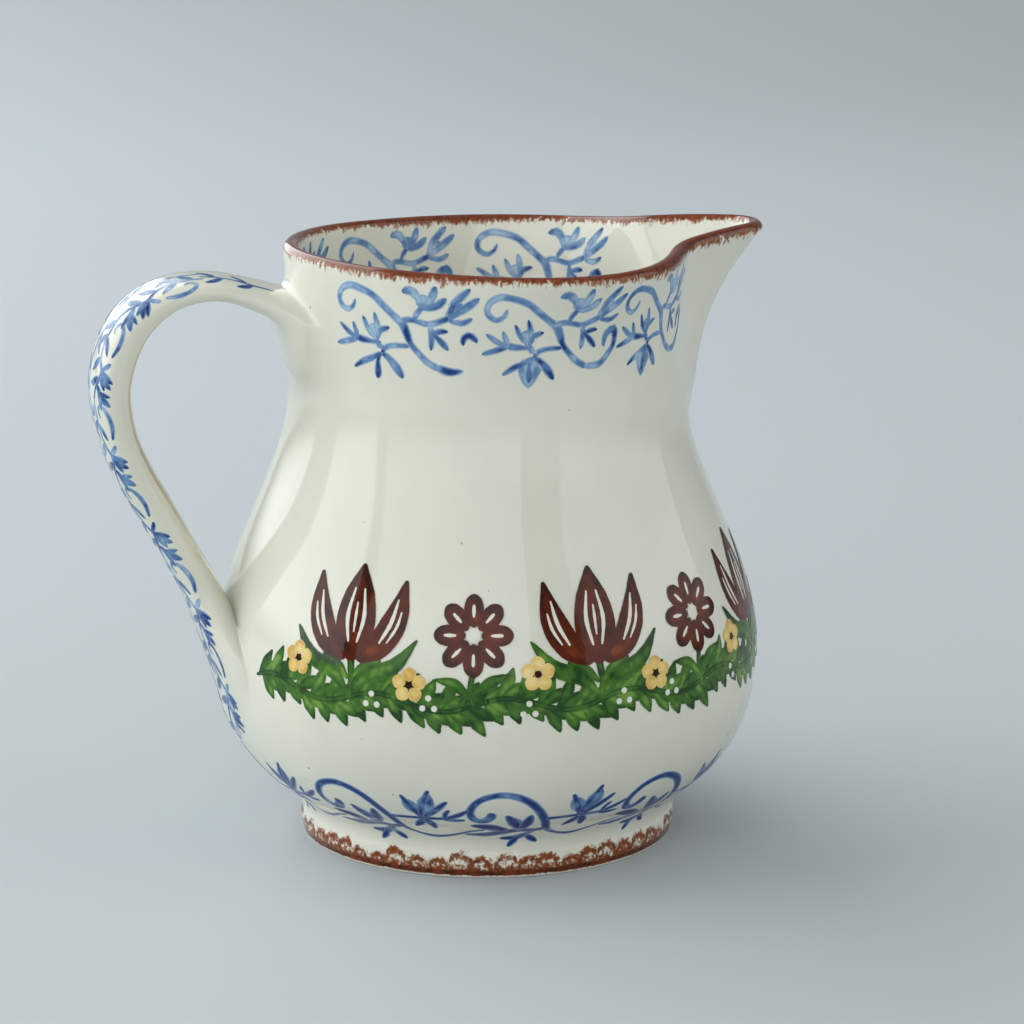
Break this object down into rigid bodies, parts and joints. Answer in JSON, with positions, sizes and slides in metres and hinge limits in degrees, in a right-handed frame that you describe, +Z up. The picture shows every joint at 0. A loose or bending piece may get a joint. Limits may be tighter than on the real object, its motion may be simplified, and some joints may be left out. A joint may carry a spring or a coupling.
{
  "type": "pitcher",
  "caption": "Round-bellied earthenware pitcher with an open beaked mouth, a strap handle opposite and a low foot ring, glazed cream with painted borders.",
  "frame": {"origin": "centre of the foot ring, on the plane the pitcher stands on", "axes": "+Z up along the body's axis, +X towards the beak, -X towards the handle"},
  "size_m": [0.174, 0.14, 0.1577],
  "materials": {
    "cream_glaze": "glossy cream lead-type glaze over pale earthenware",
    "brown_sponging": "brown sponged edge colour under a glossy glaze",
    "blue_painting": "blue brushwork with paler washes under a glossy glaze",
    "russet_painting": "russet brushwork under a glossy glaze",
    "green_painting": "green sponged and brushed foliage under a glossy glaze",
    "yellow_painting": "yellow washes under a glossy glaze"
  },
  "bodies": {
    "root": {"body": "cream_glaze", "pouring_lip": "cream_glaze", "foot_ring": "cream_glaze", "handle": "cream_glaze"}
  },
  "joints": []
}
